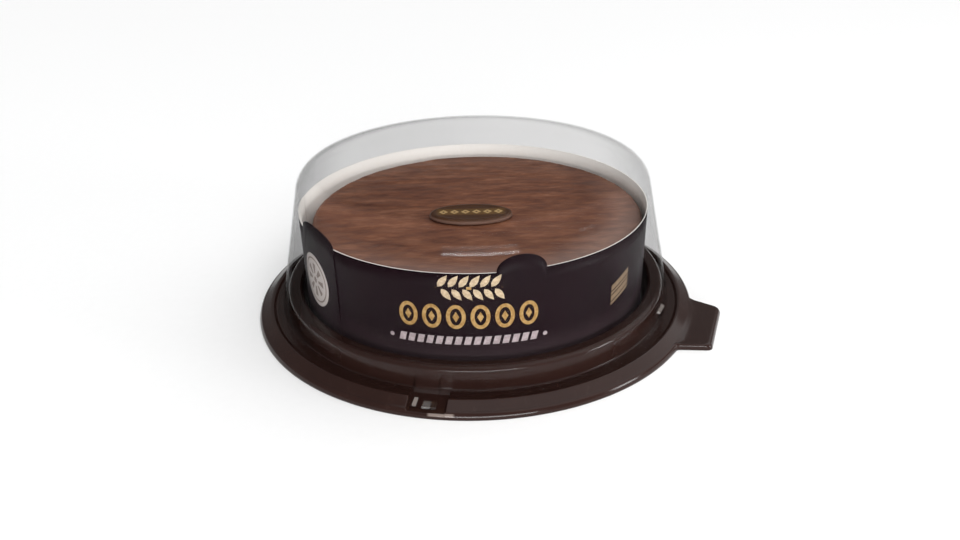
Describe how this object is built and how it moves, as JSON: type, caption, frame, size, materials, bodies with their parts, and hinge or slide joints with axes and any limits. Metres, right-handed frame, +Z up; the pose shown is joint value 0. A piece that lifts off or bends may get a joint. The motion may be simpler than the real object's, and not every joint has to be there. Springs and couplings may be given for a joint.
{
  "type": "packed sachertorte cake",
  "caption": "Shallow round chocolate-glazed cake with an oval chocolate plaque and a dark paper collar, shut in a brown tray with a pull tab under a clear domed lid.",
  "frame": {"origin": "centre of the flat underside of the tray's floor, on the surface the pack stands on", "axes": "+Z up along the axis of the round pack, +X towards the side with the pull tab, printed front of the collar facing -Y"},
  "size_m": [0.2511, 0.24, 0.0793],
  "materials": {
    "tray_plastic": "glossy dark brown thermoformed sheet",
    "lid_clear": "clear thermoformed sheet",
    "collar_board": "satin printed board, near-black violet outside, plain white inside",
    "cake_glaze": "set chocolate glaze, satin, streaked by the palette knife",
    "plaque_chocolate": "dark moulded chocolate with gold print"
  },
  "bodies": {
    "root": {"tray": "tray_plastic", "lid": "lid_clear", "collar": "collar_board", "cake": "cake_glaze", "plaque": "plaque_chocolate"}
  },
  "joints": []
}
